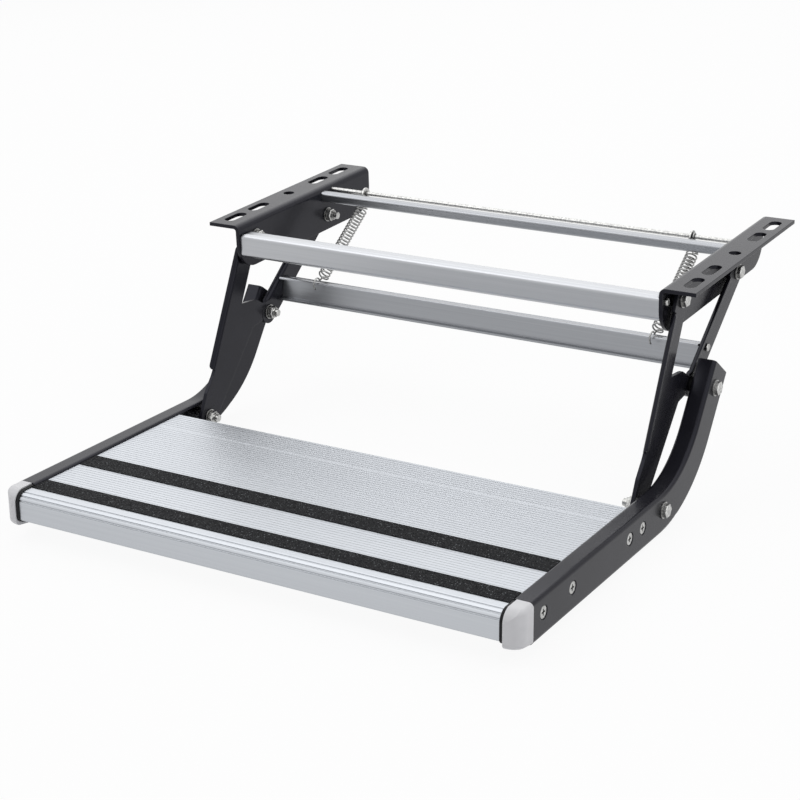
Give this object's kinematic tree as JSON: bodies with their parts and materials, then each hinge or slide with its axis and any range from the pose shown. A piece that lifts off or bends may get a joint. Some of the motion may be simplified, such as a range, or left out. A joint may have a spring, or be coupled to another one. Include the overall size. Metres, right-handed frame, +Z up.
{
  "type": "caravan entry step",
  "caption": "Folding caravan entry step: ribbed aluminium tread with grip strips between curved black rails, hung on links from bolt-up brackets.",
  "frame": {"origin": "in the mounting plane, the brackets' flange tops, midway between the two round bolt holes", "axes": "+X to the right seen from behind the step's user, +Y to the rear under the vehicle, +Z up"},
  "size_m": [0.5984, 0.6611, 0.2321],
  "materials": {
    "black_paint": "satin black powder coat on steel",
    "deck_aluminium": "satin anodised, fine ribs",
    "bar_aluminium": "satin anodised",
    "zinc_steel": "bright zinc plate",
    "spring_wire": "bright drawn wire",
    "grip_strip": "coarse black grit",
    "end_cap": "smooth pale grey-white moulding",
    "trim_band": "plain black moulding",
    "pivot_bush": "plain black bearing plastic"
  },
  "bodies": {
    "frame": {"left_bracket": "black_paint", "right_bracket": "black_paint", "front_crossbar": "bar_aluminium", "rear_crossbar": "bar_aluminium", "front_crossbar_screws": "zinc_steel", "rear_crossbar_screws": "zinc_steel", "spring_rod": "zinc_steel", "spring_rod_washers": "zinc_steel", "upper_pivot_bolts": "zinc_steel", "upper_pivot_nuts": "zinc_steel", "upper_pivot_washers": "zinc_steel", "upper_pivot_bushes": "pivot_bush"},
    "front_links": {"left_front_link": "black_paint", "right_front_link": "black_paint"},
    "rear_links": {"left_rear_link": "black_paint", "right_rear_link": "black_paint", "link_crossbar": "bar_aluminium", "link_crossbar_screws": "zinc_steel", "rear_lower_studs": "zinc_steel", "rear_lower_nuts": "zinc_steel", "rear_lower_washers": "zinc_steel", "rear_lower_bushes": "pivot_bush"},
    "tread": {"left_side_rail": "black_paint", "right_side_rail": "black_paint", "nosing_plank": "deck_aluminium", "rear_plank": "deck_aluminium", "front_grip_strip": "grip_strip", "rear_grip_strip": "grip_strip", "left_end_band": "trim_band", "right_end_band": "trim_band", "left_end_cap": "end_cap", "right_end_cap": "end_cap", "tread_screws": "zinc_steel", "front_lower_bolts": "zinc_steel", "front_lower_spacers": "zinc_steel", "front_lower_washers": "zinc_steel", "front_lower_nuts": "zinc_steel", "rear_lower_bolts": "zinc_steel", "rear_lower_spacers": "zinc_steel"},
    "springs": {"left_spring": "spring_wire", "right_spring": "spring_wire"}
  },
  "joints": [
    {"name": "step_fold", "type": "hinge", "parent": "frame", "child": "front_links", "pos_m": [0, -0.107, -0.02], "axis": [1, 0, 0], "range_deg": [0, 80]},
    {"name": "rear_link_swing", "type": "hinge", "parent": "frame", "child": "rear_links", "pos_m": [0, 0.043, -0.0345], "axis": [1, 0, 0], "range_deg": [0, 132.39]},
    {"name": "tread_pivot", "type": "hinge", "parent": "front_links", "child": "tread", "pos_m": [0, -0.20686, -0.20701], "axis": [1, 0, 0], "range_deg": [-80, 0]},
    {"name": "spring_swing", "type": "hinge", "parent": "frame", "child": "springs", "pos_m": [0, 0.057, -0.0068], "axis": [1, 0, 0], "range_deg": [0, 108.76], "deforming": ["left_spring", "right_spring"]}
  ],
  "couplings": [
    {"joint": "rear_link_swing", "follows": "step_fold", "ratio": 1.6548},
    {"joint": "tread_pivot", "follows": "step_fold", "ratio": -1},
    {"joint": "spring_swing", "follows": "step_fold", "ratio": 1.3594}
  ]
}
